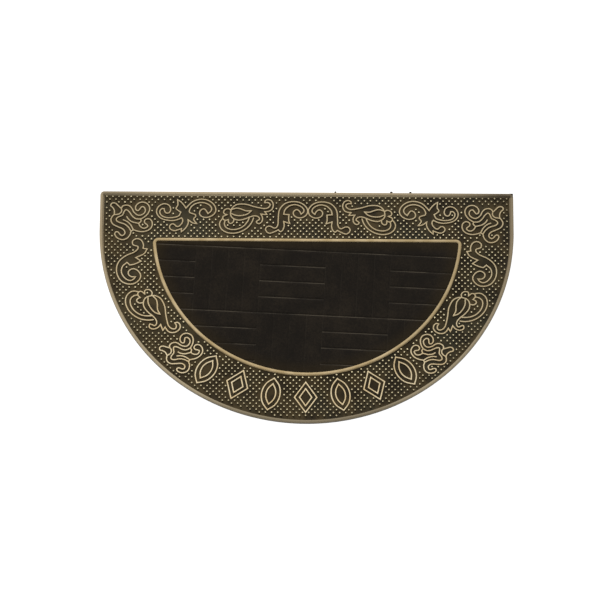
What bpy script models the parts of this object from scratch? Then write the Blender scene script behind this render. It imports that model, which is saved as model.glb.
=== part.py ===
"""A half-round doormat: moulded rubber with scrollwork in low relief round a sunk, embossed carpet insert.

One straight edge and one half-round edge. The mat lies flat. Metres, +Z up.
The origin is at the middle of the bounding box, on the floor. +Y points at the straight edge.
"""
from math import asin, cos, hypot, pi, radians, sin

import bmesh
import bpy
from mathutils import Matrix

MM = 0.001

# The mat's outline, in millimetres: half a circle below short straight sides.
WIDTH = 750.0
DEPTH = 450.0
STRAIGHT_SIDE = 75.0
CORNER_RADIUS = 7.0
ARC_STEPS = 60
CORNER_STEPS = 3

# The inner rim's middle line: part of a circle, cut off by a straight line a little below its centre.
RIM_RADIUS = 277.0
RIM_FROM_STRAIGHT_EDGE = 94.9
RIM_CENTRE_BEYOND = 15.6
RIM_ASIDE = 1.3
RIM_CORNER_RADIUS = 7.0

# The section from the outer edge to the recess floor: which outline it follows, how far in from it, height.
SECTION = [
    ("mat", 0.9, 0.0),
    ("mat", 0.0, 0.9),
    ("mat", 0.0, 6.3),
    ("mat", 1.1, 7.5),
    ("mat", 4.0, 7.5),
    ("mat", 6.3, 4.0),
    ("rim", -3.3, 4.0),
    ("rim", -2.3, 7.5),
    ("rim", 2.3, 7.5),
    ("rim", 2.8, 2.5),
]
GROUND = 4.0
RECESS_FLOOR = 2.5

# The raised lines of the ornament.
RIDGE_FOOT = 3.0
RIDGE_CROWN = 1.7
RIDGE_TOP = 6.3
RIDGE_SINK = 0.5
RIDGE_STAGGER = 0.09
RIDGE_LAP = 0.8
MERGE = 0.002
LINE_FIT = 0.75
CURVE_STEPS = 5
SOFT = "soft"
CORNER = "corner"

# The carpet insert: blocks of four bars, laid across and along in turn, a little askew in the mat.
INSERT_GAP = 0.4
INSERT_UNDER = 2.8
INSERT_GROOVE = 5.3
INSERT_TOP = 6.5
BLOCK_WIDTH = 117.5
BLOCK_DEPTH = 125.5
BARS_IN_BLOCK = 4
GROOVE_TOP = 2.4
GROOVE_FOOT = 1.2
BLOCK_CORNER = (31.0, -16.5)
STRIP_ROW = 1
INSERT_ASKEW = -2.6

# Colours of the rubber and the carpet.
RUBBER_COLOUR = (0.055, 0.040, 0.025)
RUBBER_ROUGHNESS = 0.7
CARPET_COLOUR = (0.019, 0.016, 0.012)
CARPET_ROUGHNESS = 0.95

# Each ornament is a list of raised lines: closed or open, then its points in millimetres.
# x runs to the right, y towards the straight edge. A third entry marks a corner; elsewhere the line curves.
SMALL_SCROLL = [(True, [
    (-25, 11.5), (-20.5, 20.5), (-11.5, 28), (3.5, 30.5), (17, 26.5), (26, 16.5), (26.5, 8), (21.5, 1),
    (12.5, -2), (3.5, 1.5), (1, 9), (6.5, 14.5), (12, 11.5), (15, 5.5, CORNER), (20, 10.5), (19, 16.5),
    (12.5, 22), (3.5, 24.5), (-7, 21.5), (-14.5, 13.5), (-16.5, 5.5, CORNER), (-7, 4.5, CORNER),
    (-7.5, -6.5), (-5.5, -13, CORNER), (-16.5, -9, CORNER), (-16, -19.5), (-21.5, -29),
    (-26.5, -25.5, CORNER), (-34, -29.5), (-43.5, -32), (-49.5, -25), (-46.5, -19), (-40.5, -18.5),
    (-32.5, -22), (-27.5, -16.5), (-26.5, -5),
])]
LARGE_SCROLL = [(True, [
    (16, 46.5), (23, 43), (27, 34), (26.5, 26.5, CORNER), (34, 25, CORNER), (28.5, 15.5),
    (13, 7.5, CORNER), (23, 0, CORNER), (11.5, -5.5), (2, -8, CORNER), (-3.5, -2.5, CORNER), (-12, -11),
    (-13.5, -23.5), (-7, -34.5), (2, -39.5), (9, -37), (12.5, -32, CORNER), (4.5, -31.5), (-0.5, -26.5),
    (0.5, -19.5), (9, -15.5), (18.5, -21), (22.5, -32), (14.5, -43.5), (2, -47), (-12, -42), (-21, -29),
    (-23, -13), (-18, 0.5), (-5.5, 11.5), (11.5, 20), (17, 29), (7.5, 34), (6.5, 41), (10.5, 45),
])]
TWIN_SCROLL = [(True, [
    (-1, 15, CORNER), (4, 21), (10, 27), (18, 31), (27, 32.5), (36, 31), (44, 26.5), (50, 19.5), (52, 11),
    (49, 4), (42.5, -1), (35, -3), (28, -1.5), (23.5, 3), (24, 9), (29, 13.5), (33, 12.5),
    (38, 4.5, CORNER), (43, 9), (44.5, 14.5), (41.5, 20), (34.5, 24.5), (25.5, 26), (17, 24), (9.5, 19),
    (6, 13), (5.5, 7), (10.5, 4.5), (15.5, 2.5), (16.5, -1), (13, -6.5), (18.5, -15, CORNER), (11, -13.5),
    (3, -7.5, CORNER), (3.5, -13.5), (1, -20.5), (-3, -26), (-8.5, -31, CORNER), (-8.5, -25, CORNER),
    (-14, -27), (-21, -29), (-27.5, -26), (-29.5, -21.5), (-27, -17), (-22.5, -16), (-16, -21),
    (-11, -18.5), (-7, -13), (-6.5, -7.5), (-8.5, -4, CORNER), (-15.5, -7.5), (-25, -9.5), (-35, -8.5),
    (-44, -5.5), (-50.5, 0.5), (-53, 8.5), (-50, 17), (-44, 22), (-37, 23), (-30.5, 19.5), (-28, 12.5),
    (-30, 6.5), (-35, 5), (-38.5, 8.5), (-39.5, 13.5, CORNER), (-43.5, 13.5), (-47, 9), (-46, 3),
    (-40.5, -2), (-31, -4), (-21, -3), (-13.5, 0), (-10, 7, CORNER), (-15.5, 11), (-18.5, 14.5),
    (-15.5, 20.5), (-16, 31, CORNER), (-10.5, 27.5), (-4.5, 20.5),
])]
LILY = [
    (True, [
        (-26.5, 5), (-26.5, 13), (-23.5, 21), (-16, 27), (-7, 28.5), (4, 27.5), (16, 23.5), (30, 20),
        (38, 19), (44.5, 21.5), (47.5, 27), (43.5, 31), (37.5, 31, CORNER), (38.5, 35.5), (44, 37.5),
        (50.5, 34.5), (53.5, 26), (51, 17.5), (45.5, 13.5), (37.5, 12.5, CORNER), (41.5, 6.5, CORNER),
        (30, 7.5, CORNER), (33, 0.5), (32, -7.5), (26.5, -12), (21.5, -9), (23.5, -6), (27.5, -2.5),
        (24.5, 2.5), (18, 4), (10, 2), (2, -1.5), (-6, -4), (-14, -4.5), (-22, -1),
    ]),
    (False, [
        (-24.5, 17.5, CORNER), (-16, 20), (-8, 18.5), (2, 14.5), (12, 14.5, CORNER), (5, 8), (-5, 5),
        (-16, 5), (-25.5, 9),
    ]),
    (False, [
        (-41, -0.5), (-46, -7), (-47.5, -14), (-43.5, -23.5), (-33.5, -30), (-20, -31.5), (-6, -27.5),
        (5.5, -19.5), (13, -9), (16.5, 0.5),
    ]),
    (False, [
        (-37, -5), (-38.5, -12), (-35, -20), (-24.5, -24), (-12.5, -22.5), (-2, -16.5), (5, -7.5), (8.5, 0.5),
    ]),
    (False, [
        (-25.5, 15.5, CORNER), (-31, 19), (-37.5, 17), (-40, 12), (-38.5, 8.5), (-33.5, 6.5, CORNER),
        (-41, 2.5), (-40.5, -3), (-36.5, -5), (-31, -3.5, CORNER), (-30.5, -9), (-27, -11.5), (-22, -8.5),
        (-20.5, -2.5),
    ]),
]
KNOT = [
    (True, [
        (-19, 25, CORNER), (-16.5, 30), (-10.5, 32), (-4, 30.5), (1, 25), (4.5, 17.5), (12.5, 11),
        (20.5, 12.5), (26, 19), (24.5, 26.5), (20, 28.5), (16.5, 25), (12.5, 20.5), (8.5, 22.5), (8, 29),
        (13, 35.5), (20.5, 38), (29, 35), (34, 27), (33, 18), (27, 9.5), (17.5, 3, CORNER), (18, -1.5),
        (13.5, -6, CORNER), (17, -12.5), (24, -16), (30.5, -12.5), (30, -9.5), (25, -4.5), (25.5, 1),
        (32, 3.5), (38, -1), (39, -10), (34.5, -18), (25, -22.5), (14.5, -22.5), (4, -19, CORNER),
        (-0.5, -22), (-2, -28), (-8, -36), (-16.5, -39), (-26, -35.5), (-31, -28), (-29, -23),
        (-25, -23.5), (-20.5, -29), (-16.5, -30.5), (-12, -25.5), (-15, -18), (-25, -12.5), (-35, -6.5),
        (-38.5, 2), (-35.5, 9.5), (-32.5, 12.5, CORNER), (-32, 20), (-35, 27), (-39, 31.5), (-36, 36.5),
        (-30, 36), (-24, 30),
    ]),
    (False, [(-19, 25, CORNER), (-18.5, 19.5), (-23, 14), (-32.5, 12.5)]),
    (False, [
        (17.5, 3, CORNER), (8, 4), (1.5, 9.5), (-4.5, 18.5), (-10, 22.5), (-13.5, 19), (-17, 11.5),
        (-25, 7.5), (-28.5, 3), (-25.5, -2), (-13, -7), (-5.5, -13.5), (-1, -21),
    ]),
    (False, [(-9, 9), (-5.5, 3), (1.5, -2.5), (8, -4.5), (13.5, -6)]),
    (False, [(-16, 2), (-8.5, -1.5), (-1.5, -8.5), (3.5, -18.5)]),
]
LEAF = [
    (True, [
        (0, 31, CORNER), (12, 18), (16.5, 0), (12, -18), (0, -31, CORNER), (-12, -18), (-16.5, 0), (-12, 18),
    ]),
    (True, [
        (0, 20, CORNER), (6.5, 10), (8.5, 0), (6.5, -10), (0, -20, CORNER), (-6.5, -10), (-8.5, 0), (-6.5, 10),
    ]),
]
LOZENGE = [
    (True, [(0, 29, CORNER), (20, 0, CORNER), (0, -29, CORNER), (-20, 0, CORNER)]),
    (True, [(0, 16.5, CORNER), (11, 0, CORNER), (0, -16.5, CORNER), (-11, 0, CORNER)]),
]

# Ornament, x, y, turn in degrees, size, mirrored; x and the turn are those of the left half.
PLACES = [
    (SMALL_SCROLL, -25.1, 176.2, 0.6, 1.0, False),
    (SMALL_SCROLL, -29.7, 175.9, 1.0, 1.0, True),
    (LILY, -112.0, 173.9, 0.6, 0.965, False),
    (LILY, -115.9, 172.9, 1.1, 0.955, True),
    (TWIN_SCROLL, -218.1, 177.2, 0, 1.025, False),
    (TWIN_SCROLL, -220.9, 175.4, 0.6, 1.015, True),
    (KNOT, -317.6, 167.0, 0.9, 0.965, False),
    (KNOT, -319.1, 165.0, 1.2, 0.95, True),
    (LARGE_SCROLL, -320.5, 86.6, 0.5, 0.96, False),
    (LARGE_SCROLL, -321.6, 85.7, 0.8, 0.94, True),
    (LILY, -281.5, -12.3, -64.5, 1.045, False),
    (LILY, -283.2, -11.6, -64.7, 1.025, True),
    (KNOT, -218.7, -92.5, 30.6, 0.86, False),
    (KNOT, -221.4, -91.0, 30.6, 0.845, True),
]
# The row of plain leaves and lozenges along the round edge: ornament, angle from the middle of the arc.
ARC_ROW = [
    (LEAF, -33.0), (LOZENGE, -22.0), (LEAF, -11.0), (LOZENGE, 0.0),
    (LEAF, 11.0), (LOZENGE, 22.0), (LEAF, 33.0),
]


def clear_scene():
    """Take away everything a new file starts with."""
    for item in list(bpy.data.objects):
        bpy.data.objects.remove(item, do_unlink=True)


def unit(dx, dy):
    """The direction of (dx, dy)."""
    size = hypot(dx, dy) or 1.0
    return dx / size, dy / size


def d_outline(top, centre, radius, corner):
    """A closed D, anticlockwise: a straight top with round corners, and an arc about a centre."""
    start = asin(max(0.0, centre - top + corner + 1) / radius)
    side = radius * cos(start)
    points = []
    for step in range(CORNER_STEPS + 1):
        angle = radians(90 - 90 * step / CORNER_STEPS)
        points.append((side - corner + corner * cos(angle), top - corner + corner * sin(angle)))
    for step in range(ARC_STEPS + 1):
        angle = -start - (pi - 2 * start) * step / ARC_STEPS
        points.append((radius * cos(angle), centre + radius * sin(angle)))
    for step in range(CORNER_STEPS + 1):
        angle = radians(180 - 90 * step / CORNER_STEPS)
        points.append((-side + corner + corner * cos(angle), top - corner + corner * sin(angle)))
    return points[::-1]


def mat_outline():
    """The mat's edge."""
    return d_outline(DEPTH / 2, DEPTH / 2 - STRAIGHT_SIDE, WIDTH / 2, CORNER_RADIUS)


def rim_outline():
    """The inner rim's middle line, which lies a little to the right in the mat."""
    top = DEPTH / 2 - RIM_FROM_STRAIGHT_EDGE
    points = d_outline(top, top + RIM_CENTRE_BEYOND, RIM_RADIUS, RIM_CORNER_RADIUS)
    return [(x + RIM_ASIDE, y) for x, y in points]


def inward(points, distance):
    """The same closed outline moved inwards by a distance; it runs anticlockwise."""
    moved = []
    for index, (x, y) in enumerate(points):
        before = points[index - 1]
        after = points[(index + 1) % len(points)]
        first = unit(x - before[0], y - before[1])
        second = unit(after[0] - x, after[1] - y)
        nx, ny = unit(-first[1] - second[1], first[0] + second[0])
        stretch = distance / max(0.5, nx * -first[1] + ny * first[0])
        moved.append((x + nx * stretch, y + ny * stretch))
    return moved


def mesh_object(name, mesh):
    """A new object in the scene for a mesh."""
    item = bpy.data.objects.new(name, mesh)
    bpy.context.scene.collection.objects.link(item)
    return item


def bridge(form, lower, upper):
    """The wall between two loops with the same number of points."""
    count = len(lower)
    for index in range(count):
        after = (index + 1) % count
        form.faces.new((lower[index], lower[after], upper[after], upper[index]))


def finish(form, name):
    """Turn a bmesh into an object with its faces looking outwards."""
    bmesh.ops.recalc_face_normals(form, faces=form.faces[:])
    mesh = bpy.data.meshes.new(name)
    form.to_mesh(mesh)
    form.free()
    return mesh_object(name, mesh)


def combine(base, tool, operation):
    """Join a helper to the base, or keep what they share, and take the helper away."""
    tool.hide_render = True
    tool.display_type = "WIRE"
    change = base.modifiers.new("combine", "BOOLEAN")
    change.operation = operation
    change.solver = "EXACT"
    change.object = tool
    depsgraph = bpy.context.evaluated_depsgraph_get()
    mesh = bpy.data.meshes.new_from_object(base.evaluated_get(depsgraph))
    base.modifiers.clear()
    base.data = mesh
    bpy.data.objects.remove(tool, do_unlink=True)


def material(name, colour, roughness):
    """A plain surface colour."""
    look = bpy.data.materials.new(name)
    look.use_nodes = True
    shader = look.node_tree.nodes["Principled BSDF"]
    shader.inputs["Base Color"].default_value = (*colour, 1.0)
    shader.inputs["Roughness"].default_value = roughness
    shader.inputs["Metallic"].default_value = 0.0
    return look


def tidy(item, look):
    """Merge the flat faces that a join has split, make all triangles and give the piece its material."""
    form = bmesh.new()
    form.from_mesh(item.data)
    bmesh.ops.remove_doubles(form, verts=form.verts[:], dist=MERGE * MM)
    bmesh.ops.dissolve_limit(form, angle_limit=radians(0.02), verts=form.verts[:], edges=form.edges[:])
    bmesh.ops.triangulate(form, faces=form.faces[:])
    form.to_mesh(item.data)
    form.free()
    item.data.shade_smooth()
    item.data.set_sharp_from_angle(angle=radians(25))
    item.data.materials.clear()
    item.data.materials.append(look)


def line_points(rows):
    """All the points of a raised line, each with x, y and its kind."""
    return [(row[0], row[1], row[2] if len(row) > 2 else SOFT) for row in rows]


def smooth_line(rows, closed):
    """A smooth curve through the points of a raised line."""
    points = line_points(rows)
    count = len(points)
    spans = count if closed else count - 1
    line = []
    for index in range(spans):
        a, b = points[index], points[(index + 1) % count]
        before = points[index - 1] if closed or index > 0 else a
        after = points[(index + 2) % count] if closed or index + 2 < count else b
        straight = unit(b[0] - a[0], b[1] - a[1])
        leaving = straight if a[2] != SOFT else unit(b[0] - before[0], b[1] - before[1])
        arriving = straight if b[2] != SOFT else unit(after[0] - a[0], after[1] - a[1])
        reach = hypot(b[0] - a[0], b[1] - a[1]) / 3
        for step in range(CURVE_STEPS):
            t = step / CURVE_STEPS
            s = 1 - t
            w = (s * s * s, 3 * t * s * s, 3 * t * t * s, t * t * t)
            line.append(tuple(
                w[0] * a[i] + w[1] * (a[i] + leaving[i] * reach) + w[2] * (b[i] - arriving[i] * reach) + w[3] * b[i]
                for i in (0, 1)
            ))
    return line + [points[0][:2] if closed else points[-1][:2]]


def thin_line(line, fit):
    """Fewer points on the same curve: none is left out that lies further from the chord than the fit."""
    keep = {0, len(line) - 1}
    todo = [(0, len(line) - 1)]
    while todo:
        first, last = todo.pop()
        ax, ay = line[first]
        bx, by = line[last]
        size = hypot(bx - ax, by - ay)
        worst, place = 0.0, None
        for index in range(first + 1, last):
            px, py = line[index]
            beside = abs((bx - ax) * (py - ay) - (by - ay) * (px - ax))
            away = hypot(px - ax, py - ay) if size < 0.001 else beside / size
            if away > worst:
                worst, place = away, index
        if worst > fit:
            keep.add(place)
            todo += [(first, place), (place, last)]
    return [line[index] for index in sorted(keep)]


def placed_line(rows, closed, place):
    """A raised line moved to its place; an open one is a little longer, to run into what it meets."""
    x, y, turn, size, mirror = place
    c, s = cos(radians(turn)), sin(radians(turn))
    line = thin_line(smooth_line(rows, closed), LINE_FIT)
    line = line[:-1] if closed else lengthened(line, RIDGE_LAP)
    line = [(x + size * (px * c - py * s), y + size * (px * s + py * c)) for px, py in line]
    return [(-px, py) for px, py in line] if mirror else line


def lengthened(line, lap):
    """An open line made longer at both ends."""
    first = unit(line[0][0] - line[1][0], line[0][1] - line[1][1])
    last = unit(line[-1][0] - line[-2][0], line[-1][1] - line[-2][1])
    head = (line[0][0] + first[0] * lap, line[0][1] + first[1] * lap)
    tail = (line[-1][0] + last[0] * lap, line[-1][1] + last[1] * lap)
    return [head] + line[1:-1] + [tail]


def side_points(line, closed, away):
    """The line moved to its left by a distance, sharp corners cut short."""
    count = len(line)
    moved = []
    for index, (x, y) in enumerate(line):
        before = line[index - 1] if closed or index > 0 else None
        after = line[(index + 1) % count] if closed or index + 1 < count else None
        first = unit(x - before[0], y - before[1]) if before else unit(after[0] - x, after[1] - y)
        second = unit(after[0] - x, after[1] - y) if after else first
        nx, ny = unit(-first[1] - second[1], first[0] + second[0])
        stretch = away / max(0.45, nx * -first[1] + ny * first[0])
        moved.append((x + nx * stretch, y + ny * stretch))
    return moved


def ridge(line, closed, top):
    """One raised line: a bar with sloping sides, its foot sunk into the mat."""
    slope = (RIDGE_FOOT - RIDGE_CROWN) / 2 / (top - GROUND)
    foot = RIDGE_FOOT / 2 + RIDGE_SINK * slope
    crown = RIDGE_CROWN / 2
    form = bmesh.new()
    rails = []
    for away, height in ((foot, GROUND - RIDGE_SINK), (crown, top), (-crown, top), (-foot, GROUND - RIDGE_SINK)):
        points = side_points(line, closed, away)
        rails.append([form.verts.new((x * MM, y * MM, height * MM)) for x, y in points])
    count = len(line)
    for index in range(count if closed else count - 1):
        after = (index + 1) % count
        for rail in range(4):
            here, there = rails[rail], rails[(rail + 1) % 4]
            form.faces.new((here[index], here[after], there[after], there[index]))
    if not closed:
        form.faces.new([rail[0] for rail in rails])
        form.faces.new([rail[-1] for rail in rails][::-1])
    return finish(form, "ridge")


def arc_place(angle):
    """The middle of the border at an angle from the round edge's middle, and how an ornament turns there."""
    middle = (WIDTH / 2 + RIM_RADIUS) / 2
    x = middle * sin(radians(angle))
    y = DEPTH / 2 - STRAIGHT_SIDE - middle * cos(radians(angle))
    return x, y, angle


def all_lines():
    """Every raised line on the mat with whether it is closed and its height."""
    lines = []
    places = [(ornament, place) for ornament, *place in PLACES]
    places += [(ornament, (*arc_place(angle), 1.0, False)) for ornament, angle in ARC_ROW]
    for ornament, place in places:
        for number, (closed, rows) in enumerate(ornament):
            lines.append((placed_line(rows, closed, place), closed, RIDGE_TOP - RIDGE_STAGGER * number))
    return lines


def rubber_mat():
    """The moulded mat: slab, rims, ground and recess in one section, then the raised lines."""
    outlines = {"mat": mat_outline(), "rim": rim_outline()}
    form = bmesh.new()
    loops = []
    for outline, distance, height in SECTION:
        points = inward(outlines[outline], distance)
        loops.append([form.verts.new((x * MM, y * MM, height * MM)) for x, y in points])
    for lower, upper in zip(loops, loops[1:]):
        bridge(form, lower, upper)
    form.faces.new(loops[0][::-1])
    form.faces.new(loops[-1])
    mat = finish(form, "rubber_mat")
    for line, closed, top in all_lines():
        combine(mat, ridge(line, closed, top), "UNION")
    tidy(mat, material("rubber", RUBBER_COLOUR, RUBBER_ROUGHNESS))
    return mat


def block(form, low, high, slope):
    """A block with sloping sides between two corners; its top is smaller by the slope."""
    x0, y0, z0 = low
    x1, y1, z1 = high
    foot = [(x0, y0), (x1, y0), (x1, y1), (x0, y1)]
    crown = [(x0 + slope, y0 + slope), (x1 - slope, y0 + slope), (x1 - slope, y1 - slope), (x0 + slope, y1 - slope)]
    lower = [form.verts.new((x * MM, y * MM, z0 * MM)) for x, y in foot]
    upper = [form.verts.new((x * MM, y * MM, z1 * MM)) for x, y in crown]
    bridge(form, lower, upper)
    form.faces.new(lower[::-1])
    form.faces.new(upper)


def turn_in_mat(item):
    """Turn a piece of the insert to lie askew, as the whole insert does."""
    item.data.transform(Matrix.Rotation(radians(INSERT_ASKEW), 4, "Z"))


def bars_of_block(column, row):
    """The foot rectangles of one block's bars. The cut strip at the straight edge has bars across only."""
    x0 = BLOCK_CORNER[0] + column * BLOCK_WIDTH
    y0 = BLOCK_CORNER[1] + row * BLOCK_DEPTH
    across = row == STRIP_ROW or (column + row) % 2 == 1
    edge = GROOVE_FOOT / 2
    bars = []
    for bar in range(BARS_IN_BLOCK):
        if across:
            low = y0 + BLOCK_DEPTH * bar / BARS_IN_BLOCK
            high = y0 + BLOCK_DEPTH * (bar + 1) / BARS_IN_BLOCK
            bars.append((x0 + edge, low + edge, x0 + BLOCK_WIDTH - edge, high - edge))
        else:
            low = x0 + BLOCK_WIDTH * bar / BARS_IN_BLOCK
            high = x0 + BLOCK_WIDTH * (bar + 1) / BARS_IN_BLOCK
            bars.append((low + edge, y0 + edge, high - edge, y0 + BLOCK_DEPTH - edge))
    return bars


def carpet_insert():
    """The insert: a base sheet with raised bars, cut to the recess."""
    slope = (GROOVE_TOP - GROOVE_FOOT) / 2
    form = bmesh.new()
    block(form, (-320, -190, INSERT_UNDER), (320, 190, INSERT_GROOVE), 0.0)
    insert = finish(form, "carpet_insert")
    form = bmesh.new()
    for column in range(-4, 3):
        for row in range(-2, 2):
            for x0, y0, x1, y1 in bars_of_block(column, row):
                block(form, (x0, y0, INSERT_GROOVE - 0.6), (x1, y1, INSERT_TOP), slope * 1.5)
    bars = finish(form, "bars")
    turn_in_mat(insert)
    turn_in_mat(bars)
    combine(insert, bars, "UNION")
    outline = inward(rim_outline(), SECTION[-1][1] + INSERT_GAP)
    form = bmesh.new()
    foot = form.faces.new([form.verts.new((x * MM, y * MM, 0.0)) for x, y in outline])
    grown = bmesh.ops.extrude_face_region(form, geom=[foot])
    crown = [item for item in grown["geom"] if isinstance(item, bmesh.types.BMVert)]
    bmesh.ops.translate(form, verts=crown, vec=(0.0, 0.0, 2 * INSERT_TOP * MM))
    combine(insert, finish(form, "recess"), "INTERSECT")
    tidy(insert, material("carpet", CARPET_COLOUR, CARPET_ROUGHNESS))
    return insert


clear_scene()
rubber_mat()
carpet_insert()
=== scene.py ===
# %% [markdown]
# # A half-round rubber doormat
#
# The real mat is one rubber moulding with an embossed carpet insert glued into a shallow recess. Its border
# is full of small pins, scrollwork stands on it in low relief, and the tops of rims, scrolls and pins are
# brushed with pale gold paint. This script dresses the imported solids: it takes their frame, makes finer
# pieces in the same places, and gives each its finish.

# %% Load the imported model
from math import asin, cos, floor, hypot, pi, radians, sin

import bmesh
import bpy
from mathutils import Matrix, Vector
from mathutils.kdtree import KDTree


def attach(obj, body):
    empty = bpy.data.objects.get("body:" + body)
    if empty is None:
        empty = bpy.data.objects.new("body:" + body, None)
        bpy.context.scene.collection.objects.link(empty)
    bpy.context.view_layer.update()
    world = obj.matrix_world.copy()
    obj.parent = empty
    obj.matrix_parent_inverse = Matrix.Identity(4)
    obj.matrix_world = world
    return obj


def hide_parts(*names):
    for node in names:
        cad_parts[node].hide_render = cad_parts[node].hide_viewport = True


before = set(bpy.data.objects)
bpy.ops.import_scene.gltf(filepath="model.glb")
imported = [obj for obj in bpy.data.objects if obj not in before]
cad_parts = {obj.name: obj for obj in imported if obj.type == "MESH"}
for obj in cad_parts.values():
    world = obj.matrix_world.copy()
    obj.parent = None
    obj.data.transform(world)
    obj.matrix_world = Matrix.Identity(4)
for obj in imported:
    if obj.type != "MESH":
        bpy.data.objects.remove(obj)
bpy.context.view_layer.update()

# %% [markdown]
# ## Sizes
#
# Everything is worked out in millimetres, as a mould maker would, and turned into metres where a mesh is
# made. The outline is straight at the back and half a circle at the front, with short straight sides
# between. The inner rim is part of a smaller circle about nearly the same centre.

# %% Sizes of the mat
MM = 0.001
WIDTH = 750.0
DEPTH = 450.0
STRAIGHT_SIDE = 75.0
CORNER_RADIUS = 7.0
RIM_RADIUS = 277.0
RIM_FROM_STRAIGHT_EDGE = 94.9
RIM_CENTRE_BEYOND = 15.6
RIM_ASIDE = 1.3
RIM_CORNER_RADIUS = 7.0
ARC_STEPS = 180
CORNER_STEPS = 5
GROUND = 4.0
RECESS_FLOOR = 2.5
RECESS_SIDE = 2.8

# %% [markdown]
# ## Outlines
#
# Both outlines come from one function. Moving an outline inwards by a distance gives every ring of the
# rims' section, so the two rims follow the edge exactly, round the corners too.

# %% Outlines and their offsets


def unit(dx, dy):
    """The direction of (dx, dy)."""
    size = hypot(dx, dy) or 1.0
    return dx / size, dy / size


def d_outline(top, centre, radius, corner, aside=0.0):
    """A closed D, anticlockwise: a straight top with round corners, and an arc about a centre."""
    start = asin(max(0.0, centre - top + corner + 1) / radius)
    side = radius * cos(start)
    points = []
    for step in range(CORNER_STEPS + 1):
        angle = radians(90 - 90 * step / CORNER_STEPS)
        points.append((side - corner + corner * cos(angle), top - corner + corner * sin(angle)))
    for step in range(ARC_STEPS + 1):
        angle = -start - (pi - 2 * start) * step / ARC_STEPS
        points.append((radius * cos(angle), centre + radius * sin(angle)))
    for step in range(CORNER_STEPS + 1):
        angle = radians(180 - 90 * step / CORNER_STEPS)
        points.append((-side + corner + corner * cos(angle), top - corner + corner * sin(angle)))
    return [(x + aside, y) for x, y in points[::-1]]


def inward(points, distance):
    """The same closed outline moved inwards by a distance."""
    moved = []
    for index, (x, y) in enumerate(points):
        before = points[index - 1]
        after = points[(index + 1) % len(points)]
        first = unit(x - before[0], y - before[1])
        second = unit(after[0] - x, after[1] - y)
        nx, ny = unit(-first[1] - second[1], first[0] + second[0])
        stretch = distance / max(0.5, nx * -first[1] + ny * first[0])
        moved.append((x + nx * stretch, y + ny * stretch))
    return moved


RIM_STRAIGHT = DEPTH / 2 - RIM_FROM_STRAIGHT_EDGE
MAT_OUTLINE = d_outline(DEPTH / 2, DEPTH / 2 - STRAIGHT_SIDE, WIDTH / 2, CORNER_RADIUS)
RIM_OUTLINE = d_outline(
    RIM_STRAIGHT, RIM_STRAIGHT + RIM_CENTRE_BEYOND, RIM_RADIUS, RIM_CORNER_RADIUS, RIM_ASIDE,
)
print("outline points", len(MAT_OUTLINE), len(RIM_OUTLINE))

# %% [markdown]
# ## The moulded mat
#
# A mould maker draws one section from the edge to the recess and carries it round. Here the underside is
# made first, and its border is then extruded from row to row of the section: each new ring's points move to
# the outline at the next distance. The last column says how much gold paint the brush leaves there, and the
# one before it which of the two rims the row belongs to. Both are stored on the mesh, so the finish knows
# where the paint lies.

# %% The section and the moulded mat
# outline, distance inwards, height, inner rim, paint
SECTION = [
    ("mat", 1.4, 0.00, 0.0, 0.1),
    ("mat", 0.5, 0.12, 0.0, 0.1),
    ("mat", 0.1, 0.50, 0.0, 0.3),
    ("mat", 0.0, 1.20, 0.0, 0.6),
    ("mat", 0.0, 3.60, 0.0, 0.7),
    ("mat", 0.0, 6.00, 0.0, 0.7),
    ("mat", 0.2, 6.80, 0.0, 0.7),
    ("mat", 0.7, 7.30, 0.0, 0.8),
    ("mat", 1.5, 7.50, 0.0, 1.0),
    ("mat", 2.8, 7.50, 0.0, 1.0),
    ("mat", 3.9, 7.45, 0.0, 1.0),
    ("mat", 4.6, 7.10, 0.0, 1.0),
    ("mat", 5.1, 6.40, 0.0, 1.0),
    ("mat", 5.7, 5.30, 0.0, 1.0),
    ("mat", 6.3, 4.40, 0.0, 1.0),
    ("mat", 7.0, GROUND, 0.0, 0.7),
    ("mat", 7.6, GROUND, 0.0, 0.0),
    ("rim", -4.0, GROUND, 1.0, 0.0),
    ("rim", -3.4, 4.30, 1.0, 0.2),
    ("rim", -3.1, 5.20, 1.0, 0.8),
    ("rim", -2.8, 6.30, 1.0, 1.0),
    ("rim", -2.2, 7.10, 1.0, 1.0),
    ("rim", -1.2, 7.45, 1.0, 1.0),
    ("rim", 0.0, 7.50, 1.0, 1.0),
    ("rim", 1.2, 7.45, 1.0, 1.0),
    ("rim", 2.1, 7.15, 1.0, 1.0),
    ("rim", 2.6, 6.40, 1.0, 0.9),
    ("rim", RECESS_SIDE, 5.20, 1.0, 0.5),
    ("rim", RECESS_SIDE, 2.60, 1.0, 0.0),
    ("rim", 3.4, RECESS_FLOOR, 1.0, 0.0),
]


def new_piece(name, form):
    """A bmesh turned into an object with soft shading."""
    mesh = bpy.data.meshes.new(name)
    form.to_mesh(mesh)
    form.free()
    piece = bpy.data.objects.new(name, mesh)
    bpy.context.scene.collection.objects.link(piece)
    mesh.shade_smooth()
    return piece


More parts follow.
